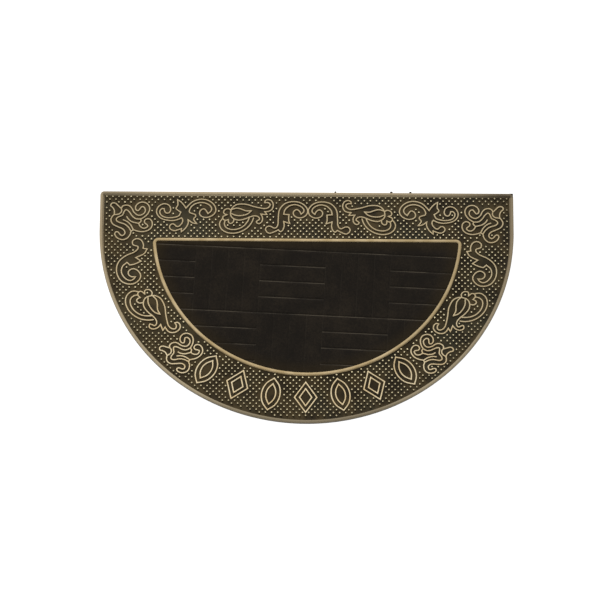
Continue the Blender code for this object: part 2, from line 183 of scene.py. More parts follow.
def make_mat():
    """The slab with both rims and the recess, its section extruded from ring to ring."""
    form = bmesh.new()
    inner = form.verts.layers.float.new("inner_rim")
    paint = form.verts.layers.float.new("paint")
    order = form.verts.layers.int.new("order")
    outlines = {"mat": MAT_OUTLINE, "rim": RIM_OUTLINE}
    bmesh.ops.create_circle(form, cap_ends=True, segments=len(MAT_OUTLINE), radius=1.0)
    form.verts.ensure_lookup_table()
    for index, vert in enumerate(form.verts):
        vert[order] = index
    ring = form.edges[:]
    verts = form.verts[:]
    for number, (outline, distance, height, on_inner, amount) in enumerate(SECTION):
        if number:
            grown = bmesh.ops.extrude_edge_only(form, edges=ring)["geom"]
            ring = [item for item in grown if isinstance(item, bmesh.types.BMEdge)]
            verts = [item for item in grown if isinstance(item, bmesh.types.BMVert)]
        points = inward(outlines[outline], distance)
        for vert in verts:
            x, y = points[vert[order]]
            vert.co = (x * MM, y * MM, height * MM)
            vert[inner] = on_inner
            vert[paint] = amount
    bmesh.ops.edgeloop_fill(form, edges=ring)
    bmesh.ops.recalc_face_normals(form, faces=form.faces[:])
    return new_piece("moulded_mat", form)


mat = make_mat()
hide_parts("rubber_mat")
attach(mat, "root")
print("moulded mat", len(mat.data.polygons), "faces")

# %% [markdown]
# ## The scrollwork
#
# Each ornament is a table of points in millimetres, x to the right and y towards the straight edge, with a
# third entry at a corner. The tables are the same ones that the solids were made from. The points of the
# scrolls, the lily and the knot were read off the photograph, and PLACES was fitted to it by a program. The
# ornaments on the right are those on the left mirrored, each with its own fitted place. The round edge has
# a plain row of leaves and lozenges in its middle.

# %% The ornaments and their places
SOFT = "soft"
CORNER = "corner"
CURVE_STEPS = 6
SMALL_SCROLL = [(True, [
    (-25, 11.5), (-20.5, 20.5), (-11.5, 28), (3.5, 30.5), (17, 26.5), (26, 16.5), (26.5, 8), (21.5, 1),
    (12.5, -2), (3.5, 1.5), (1, 9), (6.5, 14.5), (12, 11.5), (15, 5.5, CORNER), (20, 10.5), (19, 16.5),
    (12.5, 22), (3.5, 24.5), (-7, 21.5), (-14.5, 13.5), (-16.5, 5.5, CORNER), (-7, 4.5, CORNER),
    (-7.5, -6.5), (-5.5, -13, CORNER), (-16.5, -9, CORNER), (-16, -19.5), (-21.5, -29),
    (-26.5, -25.5, CORNER), (-34, -29.5), (-43.5, -32), (-49.5, -25), (-46.5, -19), (-40.5, -18.5),
    (-32.5, -22), (-27.5, -16.5), (-26.5, -5),
])]
LARGE_SCROLL = [(True, [
    (16, 46.5), (23, 43), (27, 34), (26.5, 26.5, CORNER), (34, 25, CORNER), (28.5, 15.5),
    (13, 7.5, CORNER), (23, 0, CORNER), (11.5, -5.5), (2, -8, CORNER), (-3.5, -2.5, CORNER), (-12, -11),
    (-13.5, -23.5), (-7, -34.5), (2, -39.5), (9, -37), (12.5, -32, CORNER), (4.5, -31.5), (-0.5, -26.5),
    (0.5, -19.5), (9, -15.5), (18.5, -21), (22.5, -32), (14.5, -43.5), (2, -47), (-12, -42), (-21, -29),
    (-23, -13), (-18, 0.5), (-5.5, 11.5), (11.5, 20), (17, 29), (7.5, 34), (6.5, 41), (10.5, 45),
])]
TWIN_SCROLL = [(True, [
    (-1, 15, CORNER), (4, 21), (10, 27), (18, 31), (27, 32.5), (36, 31), (44, 26.5), (50, 19.5), (52, 11),
    (49, 4), (42.5, -1), (35, -3), (28, -1.5), (23.5, 3), (24, 9), (29, 13.5), (33, 12.5),
    (38, 4.5, CORNER), (43, 9), (44.5, 14.5), (41.5, 20), (34.5, 24.5), (25.5, 26), (17, 24), (9.5, 19),
    (6, 13), (5.5, 7), (10.5, 4.5), (15.5, 2.5), (16.5, -1), (13, -6.5), (18.5, -15, CORNER), (11, -13.5),
    (3, -7.5, CORNER), (3.5, -13.5), (1, -20.5), (-3, -26), (-8.5, -31, CORNER), (-8.5, -25, CORNER),
    (-14, -27), (-21, -29), (-27.5, -26), (-29.5, -21.5), (-27, -17), (-22.5, -16), (-16, -21),
    (-11, -18.5), (-7, -13), (-6.5, -7.5), (-8.5, -4, CORNER), (-15.5, -7.5), (-25, -9.5), (-35, -8.5),
    (-44, -5.5), (-50.5, 0.5), (-53, 8.5), (-50, 17), (-44, 22), (-37, 23), (-30.5, 19.5), (-28, 12.5),
    (-30, 6.5), (-35, 5), (-38.5, 8.5), (-39.5, 13.5, CORNER), (-43.5, 13.5), (-47, 9), (-46, 3),
    (-40.5, -2), (-31, -4), (-21, -3), (-13.5, 0), (-10, 7, CORNER), (-15.5, 11), (-18.5, 14.5),
    (-15.5, 20.5), (-16, 31, CORNER), (-10.5, 27.5), (-4.5, 20.5),
])]
LILY = [
    (True, [
        (-26.5, 5), (-26.5, 13), (-23.5, 21), (-16, 27), (-7, 28.5), (4, 27.5), (16, 23.5), (30, 20),
        (38, 19), (44.5, 21.5), (47.5, 27), (43.5, 31), (37.5, 31, CORNER), (38.5, 35.5), (44, 37.5),
        (50.5, 34.5), (53.5, 26), (51, 17.5), (45.5, 13.5), (37.5, 12.5, CORNER), (41.5, 6.5, CORNER),
        (30, 7.5, CORNER), (33, 0.5), (32, -7.5), (26.5, -12), (21.5, -9), (23.5, -6), (27.5, -2.5),
        (24.5, 2.5), (18, 4), (10, 2), (2, -1.5), (-6, -4), (-14, -4.5), (-22, -1),
    ]),
    (False, [
        (-24.5, 17.5, CORNER), (-16, 20), (-8, 18.5), (2, 14.5), (12, 14.5, CORNER), (5, 8), (-5, 5),
        (-16, 5), (-25.5, 9),
    ]),
    (False, [
        (-41, -0.5), (-46, -7), (-47.5, -14), (-43.5, -23.5), (-33.5, -30), (-20, -31.5), (-6, -27.5),
        (5.5, -19.5), (13, -9), (16.5, 0.5),
    ]),
    (False, [
        (-37, -5), (-38.5, -12), (-35, -20), (-24.5, -24), (-12.5, -22.5), (-2, -16.5), (5, -7.5), (8.5, 0.5),
    ]),
    (False, [
        (-25.5, 15.5, CORNER), (-31, 19), (-37.5, 17), (-40, 12), (-38.5, 8.5), (-33.5, 6.5, CORNER),
        (-41, 2.5), (-40.5, -3), (-36.5, -5), (-31, -3.5, CORNER), (-30.5, -9), (-27, -11.5), (-22, -8.5),
        (-20.5, -2.5),
    ]),
]
KNOT = [
    (True, [
        (-19, 25, CORNER), (-16.5, 30), (-10.5, 32), (-4, 30.5), (1, 25), (4.5, 17.5), (12.5, 11),
        (20.5, 12.5), (26, 19), (24.5, 26.5), (20, 28.5), (16.5, 25), (12.5, 20.5), (8.5, 22.5), (8, 29),
        (13, 35.5), (20.5, 38), (29, 35), (34, 27), (33, 18), (27, 9.5), (17.5, 3, CORNER), (18, -1.5),
        (13.5, -6, CORNER), (17, -12.5), (24, -16), (30.5, -12.5), (30, -9.5), (25, -4.5), (25.5, 1),
        (32, 3.5), (38, -1), (39, -10), (34.5, -18), (25, -22.5), (14.5, -22.5), (4, -19, CORNER),
        (-0.5, -22), (-2, -28), (-8, -36), (-16.5, -39), (-26, -35.5), (-31, -28), (-29, -23),
        (-25, -23.5), (-20.5, -29), (-16.5, -30.5), (-12, -25.5), (-15, -18), (-25, -12.5), (-35, -6.5),
        (-38.5, 2), (-35.5, 9.5), (-32.5, 12.5, CORNER), (-32, 20), (-35, 27), (-39, 31.5), (-36, 36.5),
        (-30, 36), (-24, 30),
    ]),
    (False, [(-19, 25, CORNER), (-18.5, 19.5), (-23, 14), (-32.5, 12.5)]),
    (False, [
        (17.5, 3, CORNER), (8, 4), (1.5, 9.5), (-4.5, 18.5), (-10, 22.5), (-13.5, 19), (-17, 11.5),
        (-25, 7.5), (-28.5, 3), (-25.5, -2), (-13, -7), (-5.5, -13.5), (-1, -21),
    ]),
    (False, [(-9, 9), (-5.5, 3), (1.5, -2.5), (8, -4.5), (13.5, -6)]),
    (False, [(-16, 2), (-8.5, -1.5), (-1.5, -8.5), (3.5, -18.5)]),
]
LEAF = [
    (True, [
        (0, 31, CORNER), (12, 18), (16.5, 0), (12, -18), (0, -31, CORNER), (-12, -18), (-16.5, 0), (-12, 18),
    ]),
    (True, [
        (0, 20, CORNER), (6.5, 10), (8.5, 0), (6.5, -10),
        (0, -20, CORNER), (-6.5, -10), (-8.5, 0), (-6.5, 10),
    ]),
]
LOZENGE = [
    (True, [(0, 29, CORNER), (20, 0, CORNER), (0, -29, CORNER), (-20, 0, CORNER)]),
    (True, [(0, 16.5, CORNER), (11, 0, CORNER), (0, -16.5, CORNER), (-11, 0, CORNER)]),
]

# Ornament, x, y, turn in degrees, size, mirrored; x and the turn are those of the left half.
PLACES = [
    (SMALL_SCROLL, -25.1, 176.2, 0.6, 1.0, False),
    (SMALL_SCROLL, -29.7, 175.9, 1.0, 1.0, True),
    (LILY, -112.0, 173.9, 0.6, 0.965, False),
    (LILY, -115.9, 172.9, 1.1, 0.955, True),
    (TWIN_SCROLL, -218.1, 177.2, 0, 1.025, False),
    (TWIN_SCROLL, -220.9, 175.4, 0.6, 1.015, True),
    (KNOT, -317.6, 167.0, 0.9, 0.965, False),
    (KNOT, -319.1, 165.0, 1.2, 0.95, True),
    (LARGE_SCROLL, -320.5, 86.6, 0.5, 0.96, False),
    (LARGE_SCROLL, -321.6, 85.7, 0.8, 0.94, True),
    (LILY, -281.5, -12.3, -64.5, 1.045, False),
    (LILY, -283.2, -11.6, -64.7, 1.025, True),
    (KNOT, -218.7, -92.5, 30.6, 0.86, False),
    (KNOT, -221.4, -91.0, 30.6, 0.845, True),
]
# The row of plain leaves and lozenges along the round edge: ornament, angle from the middle of the arc.
ARC_ROW = [
    (LEAF, -33.0), (LOZENGE, -22.0), (LEAF, -11.0), (LOZENGE, 0.0),
    (LEAF, 11.0), (LOZENGE, 22.0), (LEAF, 33.0),
]
print("places", len(PLACES), "arc row", len(ARC_ROW))

# %% [markdown]
# ## From table to smooth line
#
# A cubic curve runs through the points of a line. Its direction at a point is that of its two neighbours,
# except at a corner, where it leaves and arrives straight.

# %% Smooth lines


def line_points(rows):
    """All the points of a raised line, each with x, y and its kind."""
    return [(row[0], row[1], row[2] if len(row) > 2 else SOFT) for row in rows]


def smooth_line(rows, closed):
    """A smooth curve through the points of a raised line."""
    points = line_points(rows)
    count = len(points)
    spans = count if closed else count - 1
    line = []
    for index in range(spans):
        a, b = points[index], points[(index + 1) % count]
        before = points[index - 1] if closed or index > 0 else a
        after = points[(index + 2) % count] if closed or index + 2 < count else b
        straight = unit(b[0] - a[0], b[1] - a[1])
        leaving = straight if a[2] != SOFT else unit(b[0] - before[0], b[1] - before[1])
        arriving = straight if b[2] != SOFT else unit(after[0] - a[0], after[1] - a[1])
        reach = hypot(b[0] - a[0], b[1] - a[1]) / 3
        for step in range(CURVE_STEPS):
            t = step / CURVE_STEPS
            s = 1 - t
            w = (s * s * s, 3 * t * s * s, 3 * t * t * s, t * t * t)
            line.append(tuple(
                w[0] * a[i] + w[1] * (a[i] + leaving[i] * reach)
                + w[2] * (b[i] - arriving[i] * reach) + w[3] * b[i]
                for i in (0, 1)
            ))
    if not closed:
        line.append(points[-1][:2])
    return line


def placed_line(rows, closed, place):
    """A raised line moved to its place on the mat."""
    x, y, turn, size, mirror = place
    c, s = cos(radians(turn)), sin(radians(turn))
    smooth = smooth_line(rows, closed)
    line = [(x + size * (px * c - py * s), y + size * (px * s + py * c)) for px, py in smooth]
    return [(-px, py) for px, py in line] if mirror else line


def arc_place(angle):
    """The middle of the border at an angle from the middle of the round edge, and the turn there."""
    middle = (WIDTH / 2 + RIM_RADIUS) / 2
    x = middle * sin(radians(angle))
    y = DEPTH / 2 - STRAIGHT_SIDE - middle * cos(radians(angle))
    return x, y, angle


def all_lines():
    """Every raised line on the mat, each with whether it is closed."""
    places = [(ornament, place) for ornament, *place in PLACES]
    places += [(ornament, (*arc_place(angle), 1.0, False)) for ornament, angle in ARC_ROW]
    lines = []
    for ornament, place in places:
        lines += [(placed_line(rows, closed, place), closed) for closed, rows in ornament]
    return lines


LINES = all_lines()
print("raised lines", len(LINES), "points", sum(len(line) for line, closed in LINES))

# %% [markdown]
# ## Raised lines
#
# The ridges are round-topped, about 3 mm wide and 2.3 mm high. A curve with a round bevel is the natural
# way to sweep one section along many lines. A bevelled curve pinches its section where it turns sharply, so
# points at a turn get a larger radius, and the height is set afterwards.

# %% Sweep the raised lines
RIDGE_WIDTH = 2.9
RIDGE_TOP = 6.3
RIDGE_SIDE = 0.3


def turn_widening(line, closed, index):
    """How much wider the sweep must be at a point for its width to stay even round the turn."""
    if not closed and index in (0, len(line) - 1):
        return 1.0
    x, y = line[index]
    before = line[index - 1]
    after = line[(index + 1) % len(line)]
    first = unit(x - before[0], y - before[1])
    second = unit(after[0] - x, after[1] - y)
    nx, ny = unit(first[0] + second[0], first[1] + second[1])
    return 1 / max(0.55, nx * first[0] + ny * first[1])


def make_ridges():
    """One piece with all the raised lines."""
    half = RIDGE_WIDTH / 2
    curve = bpy.data.curves.new("ridge_lines", "CURVE")
    curve.dimensions = "3D"
    curve.bevel_depth = half * MM
    curve.bevel_resolution = 2
    curve.use_fill_caps = True
    for line, closed in LINES:
        spline = curve.splines.new("POLY")
        spline.points.add(len(line) - 1)
        for index, (x, y) in enumerate(line):
            spline.points[index].co = (x * MM, y * MM, 0.0, 1.0)
            spline.points[index].radius = turn_widening(line, closed, index)
        spline.use_cyclic_u = closed
    sweep = bpy.data.objects.new("ridge_lines", curve)
    bpy.context.scene.collection.objects.link(sweep)
    depsgraph = bpy.context.evaluated_depsgraph_get()
    mesh = bpy.data.meshes.new_from_object(sweep.evaluated_get(depsgraph))
    bpy.data.objects.remove(sweep, do_unlink=True)
    form = bmesh.new()
    form.from_mesh(mesh)
    for vert in form.verts:
        rise = max(-1.0, min(1.0, vert.co.z / (half * MM)))
        over = (RIDGE_TOP - GROUND - RIDGE_SIDE) * rise if rise > 0 else rise
        vert.co.z = (GROUND + RIDGE_SIDE + over) * MM
    bmesh.ops.recalc_face_normals(form, faces=form.faces[:])
    return new_piece("raised_scrollwork", form)


ridges = make_ridges()
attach(ridges, "root")
print("ridges", len(ridges.data.polygons), "faces")

# %% [markdown]
# ## The pins
#
# The border's ground is a square grid of small pins set cornerwise, the same all round, with none on or
# close to a raised line and none inside a scroll. A tree of the lines' points finds how near the closest
# line is, and a count of crossings tells the inside of a closed outline. Every pin is a small tapered stud
# with a worn top.

# %% Where pins stand
PIN_ACROSS = 11.0
PIN_DEEP = 11.2
PIN_CLEAR = 4.3
PIN_FROM_EDGE = 8.9
PIN_FROM_RIM = 6.2
PIN_ROWS = 42
PIN_COLUMNS = 36
PIN_ROWS_MOVED = 2.0

near_line = KDTree(sum(len(line) for line, closed in LINES))
count = 0
for line, closed in LINES:
    for x, y in line:
        near_line.insert((x, y, 0.0), count)
        count += 1
near_line.balance()


def inside(outline, x, y):
    """Whether a point is inside a closed outline."""
    within = False
    for (ax, ay), (bx, by) in zip(outline, outline[1:] + outline[:1]):
        if (ay > y) != (by > y) and x < ax + (bx - ax) * (y - ay) / (by - ay):
            within = not within
    return within


def reach_of(line):
    """The box round a line."""
    xs, ys = zip(*line)
    return min(xs), min(ys), max(xs), max(ys)


BODIES = [(reach_of(line), line) for line, closed in LINES if closed]
GROUND_OUTER = inward(MAT_OUTLINE, PIN_FROM_EDGE)
GROUND_INNER = inward(RIM_OUTLINE, -PIN_FROM_RIM)


def pin_stands(x, y):
    """Whether the border has a pin there."""
    if not inside(GROUND_OUTER, x, y) or inside(GROUND_INNER, x, y):
        return False
    if near_line.find((x, y, 0.0))[2] < PIN_CLEAR:
        return False
    return not any(a <= x <= c and b <= y <= d and inside(line, x, y) for (a, b, c, d), line in BODIES)


pin_places = []
for row in range(-PIN_ROWS, PIN_ROWS + 1):
    for column in range(-PIN_COLUMNS, PIN_COLUMNS + 1):
        x = (column + (row % 2) / 2) * PIN_ACROSS
        y = row * PIN_DEEP / 2 + PIN_ROWS_MOVED
        if pin_stands(x, y):
            pin_places.append((x, y))
print("pins", len(pin_places))

# %% [markdown]
# ## One pin, many times
#
# The pin is made once as a small cone with a softened top, then added to one mesh at every place, each a
# little different in size. Each pin also stores how much paint it holds: more near the inner rim, less at
# the outer edge, where shoes have worn it and the brush passed lightly.

# %% Make the pins
PIN_FOOT = 3.3
PIN_TOP = 2.7
PIN_HEIGHT = 3.0


def even_noise(a, b):
    """A number from 0 to 1 that looks random and is the same each run."""
    value = sin(a * 12.9898 + b * 78.233) * 43758.5453
    return value - floor(value)


def pin_mesh():
    """One pin standing on the ground at the origin."""
    form = bmesh.new()
    middle = Matrix.Translation((0.0, 0.0, (PIN_HEIGHT / 2 - 0.15) * MM))
    bmesh.ops.create_cone(
        form, cap_ends=True, segments=8, radius1=PIN_FOOT / 2 * MM, radius2=PIN_TOP / 2 * MM,
        depth=(PIN_HEIGHT + 0.3) * MM, matrix=middle,
    )
    near_top = PIN_HEIGHT * 0.9 * MM
    crown = [edge for edge in form.edges if all(vert.co.z > near_top for vert in edge.verts)]
    bmesh.ops.bevel(
        form, geom=crown, offset=0.45 * MM, segments=2, profile=0.5, affect="EDGES", material=-1,
    )
    mesh = bpy.data.meshes.new("pin")
    form.to_mesh(mesh)
    form.free()
    return mesh


def paint_on_pin(x, y):
    """How much paint the brush left on the pin at a place, from 0 to 1."""
    outward = hypot(x / (WIDTH / 2), (y - (DEPTH / 2 - STRAIGHT_SIDE)) / (DEPTH - STRAIGHT_SIDE))
    if y > DEPTH / 2 - STRAIGHT_SIDE:
        outward = max(abs(x) / (WIDTH / 2), 0.72 + (y - DEPTH / 2 + STRAIGHT_SIDE) / STRAIGHT_SIDE * 0.26)
    dimmed = max(0.0, min(1.0, (outward - 0.74) / 0.24))
    at_corner = max(0.0, 1 - hypot(x - WIDTH / 2, y - DEPTH / 2) / 90) * 0.5
    return max(0.15, min(1.0, 0.98 - 0.5 * dimmed ** 1.5 - at_corner + 0.3 * (even_noise(x, y) - 0.5)))


def make_pins():
    """All the pins as one piece."""
    pin = pin_mesh()
    form = bmesh.new()
    paint = form.verts.layers.float.new("paint")
    for x, y in pin_places:
        first = len(form.verts)
        form.from_mesh(pin)
        form.verts.ensure_lookup_table()
        added = form.verts[first:]
        size = 0.94 + 0.12 * even_noise(y, x)
        place = Matrix.Translation((x * MM, y * MM, GROUND * MM))
        bmesh.ops.transform(form, matrix=place @ Matrix.Diagonal((size, size, 1.0, 1.0)), verts=added)
        amount = paint_on_pin(x, y)
        for vert in added:
            vert[paint] = amount
    bpy.data.meshes.remove(pin)
    return new_piece("border_pins", form)


pins = make_pins()
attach(pins, "root")
print("pins", len(pins.data.polygons), "faces")

# %% [markdown]
# ## The carpet insert
#
# The insert is needle felt with its grooves pressed in by a hot plate: blocks of four bars, laid across and
# along in turn like parquet, and it was cut a little askew. The grooves across are pressed deep, those
# along the mat's short way hardly at all. One grid has its lines where the grooves need them, each point
# sinks by how near the closest groove of its block is, and the sheet is then cut to the recess.

# %% Grid lines and grooves
INSERT_GAP = 0.4
INSERT_UNDER = 2.8
INSERT_TOP = 6.5
GROOVE_ACROSS = 1.0
GROOVE_ALONG = 0.4
GROOVE_HALF = 1.3
BLOCK_WIDTH = 117.5
BLOCK_DEPTH = 125.5
BARS_IN_BLOCK = 4
BLOCK_CORNER = (31.0, -16.5)
STRIP_ROW = 1
INSERT_ASKEW = -2.6
FIRST_COLUMN, LAST_COLUMN = -3, 2
FIRST_ROW, LAST_ROW = -2, 1
ACROSS_GROOVE = (-1.3, -0.7, 0.0, 0.7, 1.3)
BAR_CELLS = 9
BAR_DROP = 0.15
BAR_CROWN = 0.12
BAR_UNEVEN = 0.10
BAR_EDGE = 9.0
INSERT_OUTLINE = inward(RIM_OUTLINE, RECESS_SIDE + INSERT_GAP)


def grid_lines(start, block, first, last):
    """Line positions along one side: five at each groove, even cells on each bar between."""
    bar = block / BARS_IN_BLOCK
    lines = []
    for index in range(first * BARS_IN_BLOCK, (last + 1) * BARS_IN_BLOCK):
        groove = start + index * bar
        lines += [groove + across for across in ACROSS_GROOVE]
        gap = bar - 2 * ACROSS_GROOVE[-1]
        lines += [groove + ACROSS_GROOVE[-1] + gap * cell / BAR_CELLS for cell in range(1, BAR_CELLS)]
    return lines


X_LINES = grid_lines(BLOCK_CORNER[0], BLOCK_WIDTH, FIRST_COLUMN, LAST_COLUMN)
Y_LINES = grid_lines(BLOCK_CORNER[1], BLOCK_DEPTH, FIRST_ROW, LAST_ROW)
print("grid", len(X_LINES), "by", len(Y_LINES))


def groove_distances(x, y):
    """How far a point of the insert is from the closest groove across and from the closest one along."""
    column = floor((x - BLOCK_CORNER[0]) / BLOCK_WIDTH)
    row = floor((y - BLOCK_CORNER[1]) / BLOCK_DEPTH)
    in_x = x - BLOCK_CORNER[0] - column * BLOCK_WIDTH
    in_y = y - BLOCK_CORNER[1] - row * BLOCK_DEPTH
    to_across = min(in_y, BLOCK_DEPTH - in_y)
    to_along = min(in_x, BLOCK_WIDTH - in_x)
    if row == STRIP_ROW or (column + row) % 2 == 1:
        bar = BLOCK_DEPTH / BARS_IN_BLOCK
        to_across = abs(in_y - bar * round(in_y / bar))
    else:
        bar = BLOCK_WIDTH / BARS_IN_BLOCK
        to_along = abs(in_x - bar * round(in_x / bar))
    return to_across, to_along


def pressed_by(away):
    """How far down a groove reaches at a distance from its middle, from 0 to 1."""
    near = max(0.0, 1 - away / GROOVE_HALF)
    return near * (2 - near)


def felt_height(x, y):
    """The height of the felt: pressed down in the grooves, and softly uneven on the bars."""
    to_across, to_along = groove_distances(x, y)
    sunk = max(GROOVE_ACROSS * pressed_by(to_across), GROOVE_ALONG * pressed_by(to_along))
    crown = min(1.0, min(to_across, to_along) / BAR_EDGE)
    uneven = BAR_UNEVEN * sin(x * 0.21 + 2.0 * sin(y * 0.057)) * sin(y * 0.17 + 1.3 * sin(x * 0.043))
    return INSERT_TOP - BAR_DROP - sunk + BAR_CROWN * crown + uneven * crown


# %% Press, cut and finish the insert


def turned(form):
    """Turn the insert's points askew, as the whole insert lies."""
    askew = Matrix.Rotation(radians(INSERT_ASKEW), 3, "Z")
    bmesh.ops.rotate(form, verts=form.verts[:], cent=(0, 0, 0), matrix=askew)


def pressed_sheet():
    """The whole embossed sheet before it is cut."""
    form = bmesh.new()
    bmesh.ops.create_grid(form, x_segments=len(X_LINES) - 1, y_segments=len(Y_LINES) - 1, size=0.5)
    for vert in form.verts:
        x = X_LINES[round((vert.co.x + 0.5) * (len(X_LINES) - 1))]
        y = Y_LINES[round((vert.co.y + 0.5) * (len(Y_LINES) - 1))]
        vert.co = (x * MM, y * MM, felt_height(x, y) * MM)
    grown = bmesh.ops.extrude_face_region(form, geom=form.faces[:])
    for vert in [item for item in grown["geom"] if isinstance(item, bmesh.types.BMVert)]:
        vert.co.z = INSERT_UNDER * MM
    bmesh.ops.recalc_face_normals(form, faces=form.faces[:])
    turned(form)
    return new_piece("felt_insert", form)


def recess_block():
    """A block with the recess's outline, to cut the sheet with."""
    form = bmesh.new()
    foot = form.faces.new([form.verts.new((x * MM, y * MM, -0.01)) for x, y in INSERT_OUTLINE])
    grown = bmesh.ops.extrude_face_region(form, geom=[foot])
    crown = [item for item in grown["geom"] if isinstance(item, bmesh.types.BMVert)]
    bmesh.ops.translate(form, verts=crown, vec=(0.0, 0.0, 0.03))
    bmesh.ops.recalc_face_normals(form, faces=form.faces[:])
    return new_piece("recess_block", form)


def make_insert():
    """The embossed sheet cut to the recess."""
    insert = pressed_sheet()
    block = recess_block()
    cut = insert.modifiers.new("cut", "BOOLEAN")
    cut.operation = "INTERSECT"
    cut.solver = "EXACT"
    cut.object = block
    depsgraph = bpy.context.evaluated_depsgraph_get()
    mesh = bpy.data.meshes.new_from_object(insert.evaluated_get(depsgraph))
    insert.modifiers.clear()
    insert.data = mesh
    bpy.data.objects.remove(block, do_unlink=True)
    form = bmesh.new()
    form.from_mesh(mesh)
    just_over = (INSERT_UNDER + 0.01) * MM
    under = [vert for vert in form.verts if vert.co.z < just_over]
    flat = [edge for edge in form.edges if all(vert.co.z < just_over for vert in edge.verts)]
    bmesh.ops.dissolve_limit(form, angle_limit=radians(0.5), verts=under, edges=flat)
    bmesh.ops.triangulate(form, faces=[face for face in form.faces if len(face.verts) > 4])
    form.to_mesh(mesh)
    form.free()
    mesh.shade_smooth()
    mesh.set_sharp_from_angle(angle=radians(60))
    return insert


insert = make_insert()
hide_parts("carpet_insert")
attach(insert, "root")
insert_sides = zip(INSERT_OUTLINE, INSERT_OUTLINE[1:] + INSERT_OUTLINE[:1])
insert_area = abs(sum(ax * by - bx * ay for (ax, ay), (bx, by) in insert_sides)) / 2 * MM * MM
insert_width = 2 * max(x for x, y in INSERT_OUTLINE) * MM
insert_depth = (max(y for x, y in INSERT_OUTLINE) - min(y for x, y in INSERT_OUTLINE)) * MM
print("insert", len(insert.data.polygons), "faces", round(insert_area, 4), "square metres")

# %% [markdown]
# ## Flash
#
# The mould leaves thin tabs of rubber where it was vented. Three small dark ones stick out behind the rim
# of the straight edge, right of the middle, and a fourth fills the rounded corner on the right.

# %% Flash tabs on the straight edge
# place along the edge, width, start inside the edge, reach past the edge, height
FLASH_TOP = 7.2
FLASH = [
    (51.8, 3.0, 0.6, 2.2, 3.6),
    (153.6, 4.5, 0.6, 2.5, 3.6),
    (188.2, 4.0, 0.6, 2.3, 3.6),
    (371.2, 6.8, 5.0, 0.0, 2.6),
]


def make_flash():
    """The tabs as one piece, each a small block with softened edges."""
    form = bmesh.new()
    for x, width, start, reach, height in FLASH:
        middle = DEPTH / 2 + (reach - start) / 2
        place = Matrix.Translation((x * MM, middle * MM, (FLASH_TOP - height / 2) * MM))
        size = Matrix.Diagonal((width * MM, (reach + start) * MM, height * MM, 1.0))
        made = bmesh.ops.create_cube(form, size=1.0, matrix=place @ size)
        edges = list({edge for vert in made["verts"] for edge in vert.link_edges})
        bmesh.ops.bevel(
            form, geom=edges, offset=0.3 * MM, segments=2, profile=0.5, affect="EDGES", material=-1,
        )
    return new_piece("mould_flash", form)


flash = make_flash()
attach(flash, "root")
print("flash tabs", len(FLASH))

# %% [markdown]
# ## Shader maths
#
# A finish is a small calculation: where the paint is, how worn it is, which of two colours shows. Wrapping
# a socket in a class whose signs add Math nodes lets that be written as an expression.

# %% Wires and looks


class Wire:
    """A socket's value, with the signs of arithmetic working on it."""

    def __init__(self, look, socket):
        self.look = look
        self.socket = socket

    def maths(self, operation, *values):
        return self.look.node("ShaderNodeMath", {"operation": operation}, dict(enumerate(values)))

    def __add__(self, other):
        return self.maths("ADD", self, other)

    def __sub__(self, other):
        return self.maths("SUBTRACT", self, other)

    def __rsub__(self, other):
        return self.maths("SUBTRACT", other, self)

    def __mul__(self, other):
        return self.maths("MULTIPLY", self, other)

    def __truediv__(self, other):
        return self.maths("DIVIDE", self, other)

    def __pow__(self, other):
        return self.maths("POWER", self, other)

    __radd__ = __add__
    __rmul__ = __mul__


class Look:
    """A material in the making."""

    def __init__(self, name):
        self.material = bpy.data.materials.new(name)
        self.material.use_nodes = True
        self.tree = self.material.node_tree
        self.shader = self.tree.nodes["Principled BSDF"]

    def node(self, kind, settings=None, values=None, output=0):
        """Add a node: its settings first, then the values or wires of its sockets."""
        made = self.tree.nodes.new(kind)
        for key, value in (settings or {}).items():
            setattr(made, key, value)
        for key, value in (values or {}).items():
            self.feed(made.inputs[key], value)
        return Wire(self, made.outputs[output])

    def feed(self, socket, value):
        """Give a socket a wire or a plain value."""
        if isinstance(value, Wire):
            self.tree.links.new(value.socket, socket)
        else:
            socket.default_value = value

    def set(self, **values):
        """Give the shader's sockets their wires and values; an underscore stands for a space."""
        for key, value in values.items():
            self.feed(self.shader.inputs[key.replace("_", " ")], value)

    def place(self):
        return self.node("ShaderNodeTexCoord", output="Object")

    def part(self, axis):
        """One coordinate of the point on the piece, in metres."""
        return self.node("ShaderNodeSeparateXYZ", None, {0: self.place()}, output=axis)

    def stored(self, name):
        """A value stored on the mesh."""
        return self.node("ShaderNodeAttribute", {"attribute_name": name}, output="Fac")

    def noise(self, scale, detail=3.0, roughness=0.55, distortion=0.0, stretch=(1.0, 1.0, 1.0)):
        """Even noise from 0 to 1; scale is in features for each metre."""
        spread = self.node("ShaderNodeMapping", None, {"Vector": self.place(), "Scale": stretch})
        return self.node("ShaderNodeTexNoise", None, {
            "Vector": spread, "Scale": scale, "Detail": detail, "Roughness": roughness,
            "Distortion": distortion,
        }, output="Fac")

    def step(self, value, low, high):
        """0 below low, 1 above high, smooth between."""
        return self.node(
            "ShaderNodeMapRange", {"interpolation_type": "SMOOTHSTEP"},
            {"Value": value, "From Min": low, "From Max": high},
        )

    def mix(self, factor, first, second):
        """Between two colours."""
        values = {0: factor, 6: first, 7: second}
        return self.node("ShaderNodeMix", {"data_type": "RGBA"}, values, output=2)

    def bump(self, height, distance, strength=1.0):
        values = {"Height": height, "Distance": distance, "Strength": strength}
        return self.node("ShaderNodeBump", None, values)


def screen(red, green, blue):
    """A colour given as on a screen, 0 to 255, turned into the light it stands for."""
    values = [channel / 255 for channel in (red, green, blue)]
    return (*[v / 12.92 if v <= 0.04045 else ((v + 0.055) / 1.055) ** 2.4 for v in values], 1.0)
